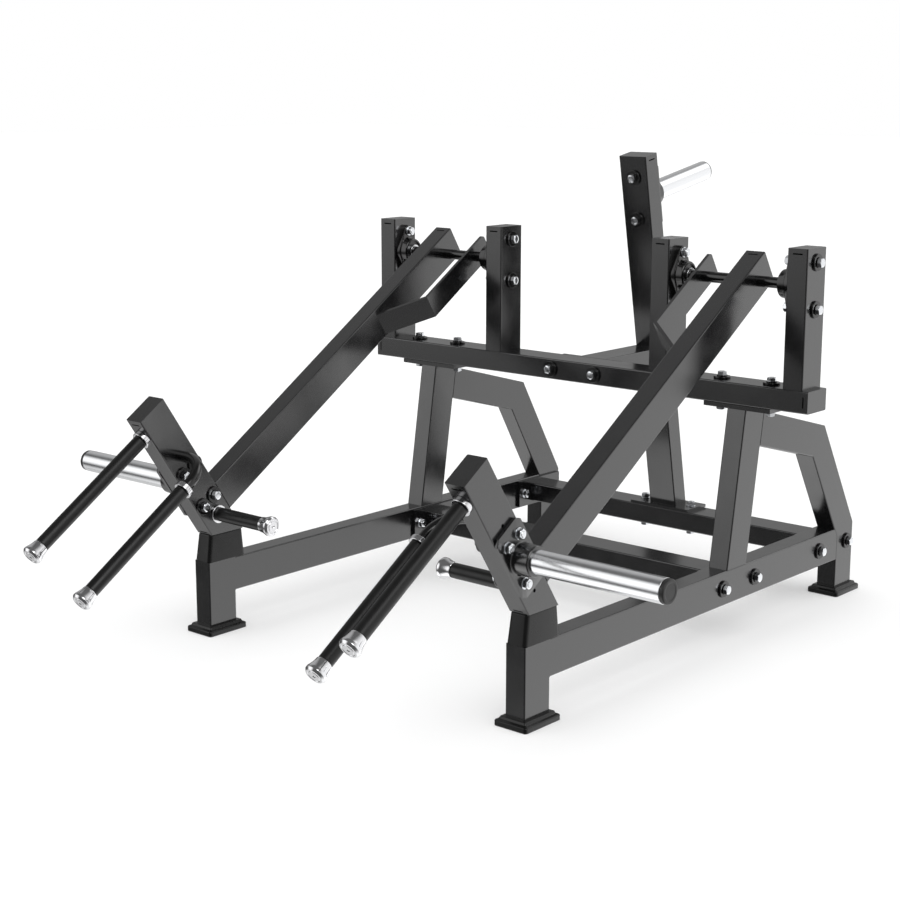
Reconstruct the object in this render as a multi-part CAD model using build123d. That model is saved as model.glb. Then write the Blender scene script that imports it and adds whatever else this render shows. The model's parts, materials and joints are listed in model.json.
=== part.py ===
from build123d import *
import os
from math import asin, atan2, cos, radians, sin, tan

# Plate-loaded ground-base lever machine: two lever arms swing on shafts carried by
# flange bearings above a bolted frame of rectangular steel tube.
# Work frame: X across the machine (its symmetry plane is X = 0), Y from the user's
# side to the rear (Y = 0 is the front of the front posts), Z up from the floor.

# ---- tube stock -------------------------------------------------------------------
TUBE_W = 50.0            # narrow side of the frame tube
TUBE_D = 80.0            # deep side of the frame tube
TUBE_WALL = 3.0
TUBE_R = 3.0             # outside corner radius of the tube
VENT_LONG = 24.0         # galvanising / coating vent near each closed tube end
VENT_HIGH = 3.0
VENT_EDGE = 12.0         # from the closed end to the vent

# ---- fits -------------------------------------------------------------------------
TOUCH_GAP = 0.5          # between an arm and what it comes to rest on
RUN_GAP = 0.05           # radial running clearance of a shaft in its bearing
SEAT_GAP = 0.05          # radial clearance of parts that are fixed in one another
HOLE_GAP = 0.5           # radial clearance of a bolt in its hole

# ---- side frames ------------------------------------------------------------------
HALF_WIDTH = 490.0       # outer face of the side frames
FOOT_H = 20.0
FOOT_LIP = 17.0          # how far the rubber foot stands out all round
FOOT_CHAMFER = 7.0
FOOT_R = 4.0
RAIL_TOP = 171.0
RAIL_END_Y = 1233.5      # where the rail meets the rear leg
UPRIGHT_Y = 731.0        # front edge of the upright where it stands on the rail
UPRIGHT_LEAN = 8.9       # degrees back from vertical
STRUT_LEAN = 31.1        # degrees of the sloping part of the rear leg from vertical
STAY_SLOPE = 15.1        # degrees of the top part of the rear leg from level
STRUT_FOOT_DROP = 7.0    # lower bend of the rear leg's centre line below the rail's top
STRUT_TOP_DROP = 133.0   # upper bend of the rear leg's centre line below the beam

# ---- top beam and bearing posts ----------------------------------------------------
BEAM_AHEAD = 1.5         # beam's front face ahead of the upright's top
BEAM_BOTTOM = 542.0
PLATE_T = 10.0           # plate welded on each upright, bolted up to the beam
PLATE_HALF = 87.0        # half length of that plate
PLATE_BOLT = 65.0        # bolts this far each side of the upright
OUTER_POST_GAP = 91.0    # between a lever arm and its outer bearing post
INNER_POST_GAP = 167.0   # between a lever arm and its inner bearing post
BEAM_PAST = 14.5         # beam beyond the outer post
POST_PAST = 83.0         # posts above the shaft's axis

# ---- bearings and shafts -----------------------------------------------------------
SHAFT_R = 12.5
SHAFT_Z = 820.0
BEARING_SPACING = 103.0  # bolt to bolt of the two-bolt flange housing
HOUSING_R = 34.0
HOUSING_EAR_R = 15.0
HOUSING_FLANGE_T = 13.0
HOUSING_H = 31.0
HOUSING_TAPER = 4.0      # degrees of draft on the housing's nose
INSERT_R = 26.0          # outside of the insert
INSERT_W = 18.0          # width of its outer ring
INSERT_STEP = 8.0        # from the inner ring's end to the outer ring
INSERT_RING_R = 17.0     # outside of its inner ring
INSERT_DEPTH = 35.0
SHAFT_END_GAP = 1.0

# ---- cross members -----------------------------------------------------------------
CROSS_BEHIND = 53.0      # middle of the front one behind the foot of the uprights
CROSS_AHEAD = 17.5       # middle of the rear one ahead of the rear legs
CROSS_PLATE_T = 8.0
CROSS_PLATE_H = 72.0
CROSS_BOLT = 67.0        # bolts this far each side of the cross member's centre
CROSS_PLATE_EDGE = 22.0  # plate beyond the bolt

# ---- rear post, link and storage horn ------------------------------------------------
REAR_POST_LEAN = 10.7    # degrees forward from vertical
REAR_POST_LEN = 930.0
BASE_PLATE_HALF = 89.0
BASE_BOLT = 72.0
BASE_PLATE_T = 8.0
BASE_PLATE_LIP = 4.0     # base plate beyond the cross member's sides
LINK_FLANGE_HALF = 90.0
LINK_FLANGE_T = 8.0
LINK_BOLT = 65.0
HORN_R = 25.0
HORN_LEN = 230.0
HORN_BOSS_R = 35.0
HORN_BOSS_H = 24.0
HORN_DROP = 106.0        # horn axis below the post's top
HORN_BOLT = 53.0         # bolts above and below the horn
HORN_FLANGE_L = 148.0
HORN_FLANGE_R = 6.0
HORN_CAP_T = 4.0

# ---- lever arms --------------------------------------------------------------------
ARM_AT = 79.3            # where an arm meets its bracket, along the bracket
ARM_RAISE = 4.3          # arm centre line above the shaft axis
ARM_TAIL = 50.0          # arm beyond the shaft
BRACE_W = 60.0
BRACE_T = 8.0
BRACE_OUT = 100.0        # middle of the brace plate from the arm, where the shaft passes
BRACE_BEND = 204.0       # from the shaft to the brace's bend, along the arm
BRACE_END = 285.0        # from the shaft to where the brace meets the arm
BRACE_CORNER = 8.0

# ---- handle bracket ----------------------------------------------------------------
BUMPER_H = 64.0
BUMPER_LEN = 112.0
BUMPER_FRONT_IN = 9.5    # how far its front and rear slope in by the top
BUMPER_REAR_IN = 4.5
BUMPER_SIDE_IN = 2.0
BUMPER_R = 4.0
BRACKET_TILT = 33.6      # degrees forward from vertical
BRACKET_LEN = 378.0
BRACKET_Y = 58.5         # middle of the bracket's bottom
SLEEVE_AT = 150.0        # stations along the bracket from its bottom
UPPER_AT = 329.0
MIDDLE_AT = 241.0
SIDE_AT = 60.0
HANG_HOLES_AT = (57.0, 237.0)
HANG_HOLE_R = 4.0        # holes for hanging the bracket while it is coated

# ---- weight sleeve -----------------------------------------------------------------
SLEEVE_R = 25.0
SLEEVE_LEN = 294.0
SLEEVE_WALL = 4.0
SPIGOT_IN = 1.0          # a sleeve is turned down this much where it sits in its flange
CAP_IN = 0.5             # an end cap is this much smaller all round than its sleeve
CAP_EDGE = 1.0           # chamfer on an end cap's face
SLEEVE_CAP_T = 10.0
CAP_PLUG = 12.0          # plug inside a sleeve's or horn's end
SLEEVE_BOSS_R = 32.0
SLEEVE_BOSS_H = 40.0
BOSS_FILLET = 4.0
FLANGE_W = 84.0
FLANGE_L = 160.0
FLANGE_T = 8.0
FLANGE_CORNER = 12.0
FLANGE_BOLT_S = 49.0     # bolts along and across the bracket from the sleeve
FLANGE_BOLT_P = 20.0

# ---- handles -----------------------------------------------------------------------
BAR_R = 12.5
BAR_WALL = 2.5
GRIP_R = 16.0
COLLAR_R = 21.0
COLLAR_L = 12.0
CAP_R = 22.5
CAP_NECK_R = 17.5
CAP_L = 34.0
CAP_WIDE_FROM = 24.5     # the cap's widest stretch, measured from its neck
CAP_WIDE_TO = 29.0
CAP_FACE_IN = 4.0        # from the widest radius in to the flat of the face
CAP_BORE = 14.0          # how deep a bar sits in its end cap
UPPER_REACH = 375.0      # from the bracket's face to the cap's face
SIDE_REACH = 190.0
MIDDLE_REACH = 435.0     # from the bracket's centre line to the cap's face
MIDDLE_OUT = 95.0        # grip's line from the bracket's inner face
MIDDLE_BEND = 70.0       # bend radius on the bar's centre line
MIDDLE_LEAD = 12.0       # straight bar between the bend and the collar

# ---- bolts --------------------------------------------------------------------------
BOLT_R = 6.0
HEAD_AF = 19.0           # across the flats
HEAD_H = 8.0
NUT_H = 10.0
WASHER_R = 12.0          # bright washer under every head and nut
WASHER_T = 2.5
PAD_R = 19.5             # thick black washer between a head and the tube
PAD_T = 5.0
BOLT_TIP = 1.0           # thread beyond the nut

# ---- derived places ------------------------------------------------------------------
INNER_X = HALF_WIDTH - TUBE_W
MID_X = HALF_WIDTH - TUBE_W / 2
RAIL_MID_Z = RAIL_TOP - TUBE_D / 2
STRUT_FOOT_Z = RAIL_TOP - STRUT_FOOT_DROP
STRUT_TOP_Z = BEAM_BOTTOM - STRUT_TOP_DROP
UPRIGHT_TOP = BEAM_BOTTOM - PLATE_T
BEAM_TOP = BEAM_BOTTOM + TUBE_W
BEAM_Y = UPRIGHT_Y + (UPRIGHT_TOP - RAIL_TOP) * tan(radians(UPRIGHT_LEAN)) - BEAM_AHEAD
BEAM_REAR_Y = BEAM_Y + TUBE_D
SHAFT_Y = BEAM_Y + TUBE_D / 2
POST_OUT_X = HALF_WIDTH + OUTER_POST_GAP + TUBE_W
POST_IN_X = INNER_X - INNER_POST_GAP - TUBE_W
POST_TOP = SHAFT_Z + POST_PAST
BEAM_HALF = POST_OUT_X + BEAM_PAST
BRACE_X = INNER_X - BRACE_OUT
BUMPER_TOP = RAIL_TOP + BUMPER_H
CROSS_FRONT_Y = UPRIGHT_Y + CROSS_BEHIND
CROSS_REAR_Y = RAIL_END_Y - CROSS_AHEAD
LEG_MID_Y = RAIL_END_Y + TUBE_D / 2
CROSS_TOP = RAIL_MID_Z + TUBE_W / 2
BRACKET_DIR = Vector(0, -sin(radians(BRACKET_TILT)), cos(radians(BRACKET_TILT)))
GRIP_DIR = Vector(0, -cos(radians(BRACKET_TILT)), -sin(radians(BRACKET_TILT)))
BRACKET_BOTTOM = Vector(MID_X, BRACKET_Y, BUMPER_TOP + TOUCH_GAP)
SHAFT_POINT = Vector(MID_X, SHAFT_Y, SHAFT_Z)
ARM_END = BRACKET_BOTTOM + BRACKET_DIR * ARM_AT - GRIP_DIR * (TUBE_D / 2)
ARM_RUN = SHAFT_POINT - ARM_END
ARM_SLOPE = atan2(ARM_RUN.Z, ARM_RUN.Y) + asin(ARM_RAISE / ARM_RUN.length)
ARM_DIR = Vector(0, -cos(ARM_SLOPE), -sin(ARM_SLOPE))
ARM_UP = Vector(0, -sin(ARM_SLOPE), cos(ARM_SLOPE))
POST_DIR = Vector(0, -sin(radians(REAR_POST_LEAN)), cos(radians(REAR_POST_LEAN)))
HORN_DIR = Vector(0, cos(radians(REAR_POST_LEAN)), sin(radians(REAR_POST_LEAN)))
POST_FOOT = Vector(0, CROSS_REAR_Y, CROSS_TOP + BASE_PLATE_T)
POST_HEAD = POST_FOOT + POST_DIR * REAR_POST_LEN
ACROSS = Vector(1, 0, 0)
UP = Vector(0, 0, 1)
BACK = Vector(0, 1, 0)
FAR = 200.0              # how far a bar is run before a cutting plane trims it
PAST_END = 50.0          # how far a hollow runs out of an open end


# ---- shapes ---------------------------------------------------------------------------
def rounded_bar(start, end, side, width, depth, corner):
    """A straight bar of rounded rectangle from start to end; width lies along side."""
    along = (end - start).normalized()
    frame = Plane(origin=start, x_dir=side, z_dir=along)
    section = RectangleRounded(width, depth, corner) if corner > 0 else Rectangle(width, depth)
    return extrude(frame * section, (end - start).length)


def mitred(points, side, width, depth, corner, first, last):
    """Straight bars between points, mitred at the bends and cut by a plane at each end."""
    cuts = [first]
    for before, here, after in zip(points, points[1:], points[2:]):
        inward = (here - before).normalized() + (after - here).normalized()
        cuts.append(Plane(origin=here, z_dir=inward))
    cuts.append(last)
    whole = None
    for i in range(len(points) - 1):
        along = (points[i + 1] - points[i]).normalized()
        bar = rounded_bar(points[i] - along * FAR, points[i + 1] + along * FAR,
                          side, width, depth, corner)
        bar = split(bar, bisect_by=cuts[i], keep=Keep.TOP)
        bar = split(bar, bisect_by=cuts[i + 1], keep=Keep.BOTTOM)
        whole = bar if whole is None else whole + bar
    return whole


def moved_in(plane, by):
    """The same plane, moved along its normal."""
    return Plane(origin=plane.origin + plane.z_dir * by, x_dir=plane.x_dir, z_dir=plane.z_dir)


def end_planes(points, first, last):
    """Cutting planes at a tube's two ends, square to it unless given."""
    start = (points[1] - points[0]).normalized()
    stop = (points[-1] - points[-2]).normalized()
    return (first or Plane(origin=points[0], z_dir=start),
            last or Plane(origin=points[-1], z_dir=stop))


def tube(points, side, width, depth, first=None, last=None, closed=(False, False)):
    """Hollow rectangular tube along points, with flat ends welded on where closed.

    first and last are cutting planes whose normals point from the start to the end.
    """
    points = [Vector(*p) for p in points]
    first, last = end_planes(points, first, last)
    outside = mitred(points, side, width, depth, TUBE_R, first, last)
    hollow_from = moved_in(first, TUBE_WALL if closed[0] else -PAST_END)
    hollow_to = moved_in(last, -TUBE_WALL if closed[1] else PAST_END)
    inside = mitred(points, side, width - 2 * TUBE_WALL, depth - 2 * TUBE_WALL, 0,
                    hollow_from, hollow_to)
    return outside - inside


def box(x0, x1, y0, y1, z0, z1):
    """Box from its low to its high corner."""
    return Pos((x0 + x1) / 2, (y0 + y1) / 2, (z0 + z1) / 2) * Box(x1 - x0, y1 - y0, z1 - z0)


def rod(point, along, radius, length):
    """Solid cylinder from point along a direction."""
    return extrude(Plane(origin=point, z_dir=along) * Circle(radius), length)


def ring(point, along, outer, inner, length):
    """Cylinder with a bore."""
    return extrude(Plane(origin=point, z_dir=along) * (Circle(outer) - Circle(inner)), length)


def stepped_sleeve(start, along, radius, seat, length):
    """Tube whose first stretch is turned down to sit in a flange."""
    bore = radius - SLEEVE_WALL
    return (ring(start, along, radius - SPIGOT_IN, bore, seat)
            + ring(start + along * seat, along, radius, bore, length))


def vent(point, along, into):
    """Cutter for a vent slot centred on point, long side along, cut the way of into."""
    frame = Plane(origin=point - into * TUBE_WALL, x_dir=along, z_dir=into)
    return extrude(frame * Rectangle(VENT_LONG, VENT_HIGH), 3 * TUBE_WALL)


def mirrored(shape):
    """The same piece on the machine's other side."""
    return mirror(shape, about=Plane.YZ)


def both(name, make):
    """The right-hand piece and its mirror image as two named nodes."""
    right = make()
    return {"right_" + name: right, "left_" + name: mirrored(right)}


# ---- bolts -----------------------------------------------------------------------------
def bolt(head_face, along, grip):
    """One bolt as separate solids: head and shank, nut, two washers and a thick pad.

    The head's side of the grip is at head_face, and along runs from head to nut.
    """
    bore = BOLT_R + SEAT_GAP
    pad = head_face - along * PAD_T
    under_head = pad - along * WASHER_T
    far_face = head_face + along * grip
    under_nut = far_face + along * WASHER_T
    hexagon = RegularPolygon(HEAD_AF / 2, 6, major_radius=False)
    head = extrude(Plane(origin=under_head - along * HEAD_H, z_dir=along) * hexagon, HEAD_H)
    reach = PAD_T + grip + 2 * WASHER_T + NUT_H + BOLT_TIP
    nut = extrude(Plane(origin=under_nut, z_dir=along) * (hexagon - Circle(bore)), NUT_H)
    return [head + rod(under_head, along, BOLT_R, reach), nut,
            ring(pad, along, PAD_R, bore, PAD_T),
            ring(under_head, along, WASHER_R, bore, WASHER_T),
            ring(far_face, along, WASHER_R, bore, WASHER_T)]


def hole(head_face, along, grip):
    """Cutter for a bolt's clearance hole."""
    return rod(head_face - along * WASHER_T, along, BOLT_R + HOLE_GAP, grip + 2 * WASHER_T)


def beam_bolts():
    """Down through the top beam and the plates on the uprights."""
    grip = TUBE_W + PLATE_T
    return [(Vector(side * MID_X + off, SHAFT_Y, BEAM_TOP), -UP, grip)
            for side in (-1, 1) for off in (-PLATE_BOLT, PLATE_BOLT)]


def bearing_bolts():
    """Across each bearing post and the flange of its bearing."""
    grip = TUBE_W + HOUSING_FLANGE_T
    found = []
    for side in (-1, 1):
        for off in (-BEARING_SPACING / 2, BEARING_SPACING / 2):
            z = SHAFT_Z + off
            found.append((Vector(side * POST_OUT_X, SHAFT_Y, z), ACROSS * -side, grip))
            found.append((Vector(side * POST_IN_X, SHAFT_Y, z), ACROSS * side, grip))
    return found


def rail_bolts():
    """Through the rails and rear legs into the end plates of the cross members."""
    grip = TUBE_W + CROSS_PLATE_T
    return [(Vector(side * HALF_WIDTH, y + off, RAIL_MID_Z), ACROSS * -side, grip)
            for side in (-1, 1) for y in (CROSS_FRONT_Y, CROSS_REAR_Y)
            for off in (-CROSS_BOLT, CROSS_BOLT)]


def base_bolts():
    """Up through the rear cross member and the rear post's base plate."""
    low = RAIL_MID_Z - TUBE_W / 2
    return [(Vector(x, CROSS_REAR_Y, low), UP, TUBE_W + BASE_PLATE_T) for x in (-BASE_BOLT, BASE_BOLT)]


def link_bolts():
    """Back through the beam and the link tube's flange."""
    z = BEAM_BOTTOM + TUBE_W / 2
    return [(Vector(x, BEAM_Y, z), BACK, TUBE_D + LINK_FLANGE_T) for x in (-LINK_BOLT, LINK_BOLT)]


def horn_bolts():
    """Back through the rear post and the storage horn's flange."""
    middle = POST_HEAD - POST_DIR * HORN_DROP - HORN_DIR * (TUBE_W / 2)
    return [(middle + POST_DIR * off, HORN_DIR, TUBE_W + FLANGE_T) for off in (-HORN_BOLT, HORN_BOLT)]


def sleeve_bolts():
    """Across the handle bracket and the sleeve's flange, from the inside out."""
    middle = bracket_point(SLEEVE_AT) - ACROSS * (TUBE_W / 2)
    return [(middle + BRACKET_DIR * s + GRIP_DIR * p, ACROSS, TUBE_W + FLANGE_T)
            for s in (-FLANGE_BOLT_S, FLANGE_BOLT_S) for p in (-FLANGE_BOLT_P, FLANGE_BOLT_P)]


def drilled(shape, bolts):
    """The shape with the clearance holes of these bolts."""
    for b in bolts:
        shape = shape - hole(*b)
    return shape


def loose(shapes):
    """Several separate solids in one node."""
    return Compound(children=[s.solid() for s in shapes])


def bolted(bolts):
    """Every fastener of these bolts in one node."""
    return loose([piece for b in bolts for piece in bolt(*b)])


# ---- side frame pieces -------------------------------------------------------------------
def front_post():
    shape = tube([(MID_X, TUBE_D / 2, FOOT_H), (MID_X, TUBE_D / 2, RAIL_TOP)], ACROSS,
                 TUBE_W, TUBE_D, closed=(False, True))
    square = box(INNER_X, HALF_WIDTH, TUBE_D - TUBE_WALL, TUBE_D, RAIL_TOP - TUBE_D, RAIL_TOP)
    return shape + square


def base_rail():
    shape = tube([(MID_X, TUBE_D, RAIL_MID_Z), (MID_X, RAIL_END_Y, RAIL_MID_Z)], ACROSS,
                 TUBE_W, TUBE_D)
    leg = mitred([Vector(*p) for p in rear_leg_points()], ACROSS, TUBE_W + 2 * TUBE_WALL, TUBE_D, 0,
                 *rear_leg_ends())
    shape = shape - leg
    return drilled(shape, rail_bolts())


def upright_rear_y(z):
    """Rear face of the upright at a height."""
    width = TUBE_D / cos(radians(UPRIGHT_LEAN))
    return UPRIGHT_Y + width + (z - RAIL_TOP) * tan(radians(UPRIGHT_LEAN))


def upright():
    half = TUBE_D / cos(radians(UPRIGHT_LEAN)) / 2
    y0 = UPRIGHT_Y + half
    y1 = BEAM_Y + BEAM_AHEAD + half
    shape = tube([(MID_X, y0, RAIL_TOP), (MID_X, y1, UPRIGHT_TOP)], ACROSS, TUBE_W, TUBE_D,
                 first=Plane(origin=(0, 0, RAIL_TOP)), last=Plane(origin=(0, 0, UPRIGHT_TOP)))
    plate = box(MID_X - PLATE_HALF, MID_X + PLATE_HALF, BEAM_Y, BEAM_REAR_Y, UPRIGHT_TOP, BEAM_BOTTOM)
    return drilled(shape + plate, beam_bolts())


def rear_leg_points():
    """Centre line of the bent rear leg: foot, lower bend, upper bend, upright."""
    run = (STRUT_TOP_Z - STRUT_FOOT_Z) * tan(radians(STRUT_LEAN))
    y_top = LEG_MID_Y - run
    y_end = UPRIGHT_Y + TUBE_D
    z_end = STRUT_TOP_Z + (y_top - y_end) * tan(radians(STAY_SLOPE))
    return [(MID_X, LEG_MID_Y, FOOT_H), (MID_X, LEG_MID_Y, STRUT_FOOT_Z),
            (MID_X, y_top, STRUT_TOP_Z), (MID_X, y_end, z_end)]


def rear_leg_ends():
    """Floor end and upright end of the rear leg as cutting planes."""
    lean = radians(UPRIGHT_LEAN)
    return (Plane(origin=(MID_X, LEG_MID_Y, FOOT_H)),
            Plane(origin=(MID_X, upright_rear_y(STRUT_TOP_Z), STRUT_TOP_Z),
                  z_dir=Vector(0, -cos(lean), sin(lean))))


def rear_leg():
    first, last = rear_leg_ends()
    shape = tube(rear_leg_points(), ACROSS, TUBE_W, TUBE_D, first, last)
    return drilled(shape, rail_bolts())


def foot(y0):
    """Rubber foot under a post whose front face is at y0."""
    base = box(INNER_X - FOOT_LIP, HALF_WIDTH + FOOT_LIP, y0 - FOOT_LIP, y0 + TUBE_D + FOOT_LIP,
               0, FOOT_H)
    base = chamfer(base.edges().group_by(Axis.Z)[-1], FOOT_CHAMFER)
    return fillet(base.edges().filter_by(Axis.Z), FOOT_R)


def bumper():
    """Tapered rubber block on the front post that the arm rests on."""
    low = Plane(origin=(MID_X, BUMPER_LEN / 2, RAIL_TOP))
    high = Plane(origin=(MID_X, (BUMPER_LEN + BUMPER_FRONT_IN - BUMPER_REAR_IN) / 2, BUMPER_TOP))
    base = RectangleRounded(TUBE_W, BUMPER_LEN, BUMPER_R)
    top = RectangleRounded(TUBE_W - 2 * BUMPER_SIDE_IN,
                           BUMPER_LEN - BUMPER_FRONT_IN - BUMPER_REAR_IN, BUMPER_R)
    return loft([low * base, high * top])


# ---- cross members, beam and posts ----------------------------------------------------------
def cross_member(y):
    reach = INNER_X - CROSS_PLATE_T
    shape = tube([(-reach, y, RAIL_MID_Z), (reach, y, RAIL_MID_Z)], BACK, TUBE_D, TUBE_W)
    half = CROSS_BOLT + CROSS_PLATE_EDGE
    for x0, x1 in ((-INNER_X, -reach), (reach, INNER_X)):
        shape = shape + box(x0, x1, y - half, y + half,
                            RAIL_MID_Z - CROSS_PLATE_H / 2, RAIL_MID_Z + CROSS_PLATE_H / 2)
    return drilled(shape, rail_bolts() + base_bolts())


def top_beam():
    z = BEAM_BOTTOM + TUBE_W / 2
    shape = tube([(-BEAM_HALF, SHAFT_Y, z), (BEAM_HALF, SHAFT_Y, z)], BACK, TUBE_D, TUBE_W,
                 closed=(True, True))
    for x in (-BEAM_HALF + VENT_EDGE, BEAM_HALF - VENT_EDGE):
        shape = shape - vent(Vector(x, BEAM_Y, z), UP, BACK)
    return drilled(shape, beam_bolts() + link_bolts())


def bearing_post(x_face, inward):
    """Post whose outer or inner face is at x_face; inward is the way to its other face."""
    x = x_face + inward * TUBE_W / 2
    shape = tube([(x, SHAFT_Y, BEAM_TOP), (x, SHAFT_Y, POST_TOP)], ACROSS, TUBE_W, TUBE_D,
                 closed=(False, True))
    shape = shape - vent(Vector(x, BEAM_Y, POST_TOP - VENT_EDGE), ACROSS, BACK)
    return drilled(shape, bearing_bolts())


def bearing_housing(x_face, along):
    """Two-bolt flange housing on a post's face, its nose along the shaft."""
    frame = Plane(origin=(x_face, SHAFT_Y, SHAFT_Z), x_dir=UP, z_dir=ACROSS * along)
    ears = Locations((-BEARING_SPACING / 2, 0), (BEARING_SPACING / 2, 0))
    outline = make_hull((Circle(HOUSING_R) + [loc * Circle(HOUSING_EAR_R) for loc in ears]).edges())
    flange = extrude(frame * outline, HOUSING_FLANGE_T)
    nose = extrude(frame * Circle(HOUSING_R), HOUSING_H, taper=HOUSING_TAPER)
    shape = flange + nose
    shape = shape - extrude(frame * Circle(INSERT_R + SEAT_GAP), HOUSING_H)
    return drilled(shape, bearing_bolts())


def bearing_insert(x_face, along):
    """Insert: a wide outer ring in the housing and a longer inner ring on the shaft."""
    start = Vector(x_face, SHAFT_Y, SHAFT_Z) + ACROSS * (along * SHAFT_END_GAP)
    bore = SHAFT_R + RUN_GAP
    outer = ring(start + ACROSS * (along * INSERT_STEP), ACROSS * along, INSERT_R, bore, INSERT_W)
    inner = ring(start, ACROSS * along, INSERT_RING_R, bore, INSERT_DEPTH)
    return outer + inner


# ---- rear post ------------------------------------------------------------------------------
def rear_post():
    shape = tube([POST_FOOT, POST_HEAD], ACROSS, TUBE_D, TUBE_W,
                 first=Plane(origin=POST_FOOT), closed=(False, True))
    half = TUBE_D / 2 + BASE_PLATE_LIP
    plate = box(-BASE_PLATE_HALF, BASE_PLATE_HALF, CROSS_REAR_Y - half, CROSS_REAR_Y + half,
                CROSS_TOP, CROSS_TOP + BASE_PLATE_T)
    shape = shape + plate
    side = POST_HEAD - POST_DIR * VENT_EDGE + ACROSS * (TUBE_D / 2)
    shape = shape - vent(side, HORN_DIR, -ACROSS)
    return drilled(shape, base_bolts() + horn_bolts())


def link_tube():
    z = BEAM_BOTTOM + TUBE_W / 2
    lean = radians(REAR_POST_LEAN)
    face = POST_FOOT - HORN_DIR * (TUBE_W / 2)
    last = Plane(origin=face, z_dir=Vector(0, cos(lean), sin(lean)))
    y0 = BEAM_REAR_Y + LINK_FLANGE_T
    y1 = face.Y - (z - face.Z) * tan(lean)
    shape = tube([(0, y0, z), (0, y1, z)], ACROSS, TUBE_D, TUBE_W, last=last)
    flange = box(-LINK_FLANGE_HALF, LINK_FLANGE_HALF, BEAM_REAR_Y, y0, BEAM_BOTTOM, BEAM_TOP)
    return drilled(shape + flange, link_bolts())


def horn_base():
    """Middle of the storage horn on the rear face of the rear post."""
    return POST_HEAD - POST_DIR * HORN_DROP + HORN_DIR * (TUBE_W / 2)


def storage_horn_flange():
    frame = Plane(origin=horn_base(), x_dir=ACROSS, z_dir=HORN_DIR)
    plate = RectangleRounded(2 * HORN_BOSS_R, HORN_FLANGE_L, HORN_FLANGE_R)
    shape = extrude(frame * plate, FLANGE_T) + extrude(frame * Circle(HORN_BOSS_R), HORN_BOSS_H)
    shape = shape - extrude(frame * Circle(HORN_R - SPIGOT_IN + SEAT_GAP), HORN_BOSS_H)
    return drilled(shape, horn_bolts())


def storage_horn():
    return stepped_sleeve(horn_base(), HORN_DIR, HORN_R, HORN_BOSS_H, HORN_LEN)


def round_cap(point, along, radius, thick):
    """Plug in a tube's end with a flat flange as wide as the tube."""
    flange = rod(point, along, radius - CAP_IN, thick)
    rim = flange.edges().filter_by(GeomType.CIRCLE).sort_by(Axis(point, along))[-1]
    flange = chamfer(rim, CAP_EDGE)
    plug = rod(point - along * CAP_PLUG, along, radius - SLEEVE_WALL - SEAT_GAP, CAP_PLUG)
    return flange + plug


def storage_horn_cap():
    end = horn_base() + HORN_DIR * (HORN_BOSS_H + HORN_LEN)
    return round_cap(end, HORN_DIR, HORN_R, HORN_CAP_T)


# ---- lever arm --------------------------------------------------------------------------------
def bracket_point(station):
    """Point on the bracket's centre line, measured from its bottom."""
    return BRACKET_BOTTOM + BRACKET_DIR * station


def pivot_shaft():
    x0 = POST_IN_X + TUBE_W + SHAFT_END_GAP
    x1 = POST_OUT_X - TUBE_W - SHAFT_END_GAP
    return rod(Vector(x0, SHAFT_Y, SHAFT_Z), ACROSS, SHAFT_R, x1 - x0)


def shaft_hole():
    x0 = POST_IN_X
    return rod(Vector(x0, SHAFT_Y, SHAFT_Z), ACROSS, SHAFT_R + SEAT_GAP, POST_OUT_X - x0)


def lever_arm():
    top = SHAFT_POINT + ARM_UP * ARM_RAISE - ARM_DIR * ARM_TAIL
    last = Plane(origin=ARM_END, z_dir=GRIP_DIR)
    shape = tube([top, ARM_END], ACROSS, TUBE_W, TUBE_D, last=last, closed=(True, False))
    mouth = top + ARM_DIR * VENT_EDGE + ARM_UP * (TUBE_D / 2)
    shape = shape - vent(mouth, ACROSS, -ARM_UP)
    return shape - shaft_hole()


def brace_plate():
    def at(along, x):
        return Vector(x, SHAFT_Y, SHAFT_Z) + ARM_DIR * along
    points = [at(-ARM_TAIL, BRACE_X), at(BRACE_BEND, BRACE_X), at(BRACE_END, INNER_X)]
    first = Plane(origin=points[0], z_dir=ARM_DIR)
    last = Plane(origin=(INNER_X, 0, 0), z_dir=ACROSS)
    shape = mitred(points, ARM_UP, BRACE_W, BRACE_T, 0, first, last)
    corners = shape.edges().filter_by(Axis.X).sort_by(Axis(points[0], ARM_DIR))[:2]
    return fillet(corners, BRACE_CORNER) - shaft_hole()


def handle_bracket():
    top = bracket_point(BRACKET_LEN)
    shape = tube([BRACKET_BOTTOM, top], ACROSS, TUBE_W, TUBE_D,
                 first=Plane(origin=BRACKET_BOTTOM), closed=(True, True))
    front = GRIP_DIR * (TUBE_D / 2)
    shape = shape - vent(top - BRACKET_DIR * VENT_EDGE + front, ACROSS, -GRIP_DIR)
    low = bracket_point(VENT_EDGE / 2 + TUBE_D / 2 * tan(radians(BRACKET_TILT))) + front
    shape = shape - vent(low, ACROSS, -GRIP_DIR)
    for station in HANG_HOLES_AT:
        shape = shape - rod(bracket_point(station), ACROSS, HANG_HOLE_R, TUBE_W)
    return drilled(shape, sleeve_bolts())


def sleeve_flange():
    middle = bracket_point(SLEEVE_AT) + ACROSS * (TUBE_W / 2)
    frame = Plane(origin=middle, x_dir=-GRIP_DIR, z_dir=ACROSS)
    plate = extrude(frame * Rectangle(FLANGE_W, FLANGE_L), FLANGE_T)
    plate = chamfer(plate.edges().filter_by(Axis.X), FLANGE_CORNER)
    boss = extrude(frame * Circle(SLEEVE_BOSS_R), FLANGE_T + SLEEVE_BOSS_H)
    boss = fillet(boss.edges().group_by(Axis.X)[-1], BOSS_FILLET)
    shape = plate + boss
    seat = Circle(SLEEVE_R - SPIGOT_IN + SEAT_GAP)
    shape = shape - extrude(frame * seat, FLANGE_T + SLEEVE_BOSS_H)
    return drilled(shape, sleeve_bolts())


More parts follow.
